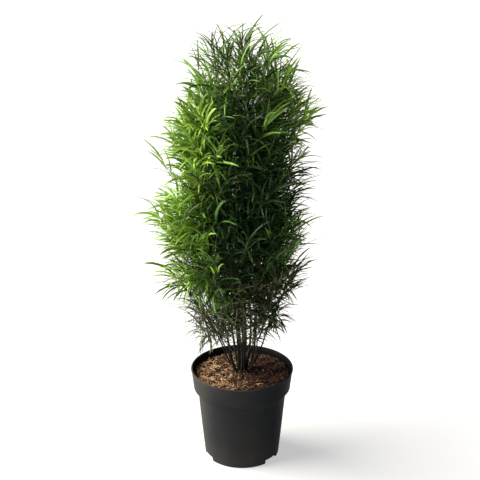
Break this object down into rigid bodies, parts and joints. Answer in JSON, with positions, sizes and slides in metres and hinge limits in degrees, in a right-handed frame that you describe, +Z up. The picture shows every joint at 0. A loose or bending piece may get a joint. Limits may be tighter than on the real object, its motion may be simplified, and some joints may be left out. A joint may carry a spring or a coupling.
{
  "type": "potted alder buckthorn shrub",
  "caption": "Narrow columnar shrub with long thin leaves on a clump of slender upright stems, rooted in a round nursery pot topped with bark mulch.",
  "frame": {"origin": "centre of the pot's flat underside, on the ground", "axes": "+Z up along the pot's axis, -Y towards the viewer of the picture, +X to the viewer's right"},
  "size_m": [0.4323, 0.3636, 0.9971],
  "materials": {
    "pot": "satin, slightly dusty",
    "mulch": "rough bark chips",
    "bark": "thin grey-brown bark",
    "foliage": "soft satin leaf"
  },
  "bodies": {
    "root": {"pot": "pot", "potting_mix": "mulch", "leader_1": "bark", "leader_2": "bark", "leader_3": "bark", "leader_4": "bark", "side_stem_1": "bark", "side_stem_2": "bark", "side_stem_3": "bark", "side_stem_4": "bark", "side_stem_5": "bark", "outer_stem_1": "bark", "outer_stem_2": "bark", "outer_stem_3": "bark", "outer_stem_4": "bark", "outer_stem_5": "bark", "foliage_skirt_1": "foliage", "foliage_skirt_2": "foliage", "foliage_skirt_3": "foliage", "foliage_skirt_4": "foliage", "foliage_skirt_5": "foliage", "foliage_lower_1": "foliage", "foliage_lower_2": "foliage", "foliage_lower_3": "foliage", "foliage_lower_4": "foliage", "foliage_lower_5": "foliage", "foliage_middle_1": "foliage", "foliage_middle_2": "foliage", "foliage_middle_3": "foliage", "foliage_middle_4": "foliage", "foliage_upper_1": "foliage", "foliage_upper_2": "foliage", "foliage_upper_3": "foliage", "foliage_upper_4": "foliage", "foliage_top_1": "foliage", "foliage_top_2": "foliage", "foliage_top_3": "foliage", "foliage_top_4": "foliage"}
  },
  "joints": []
}
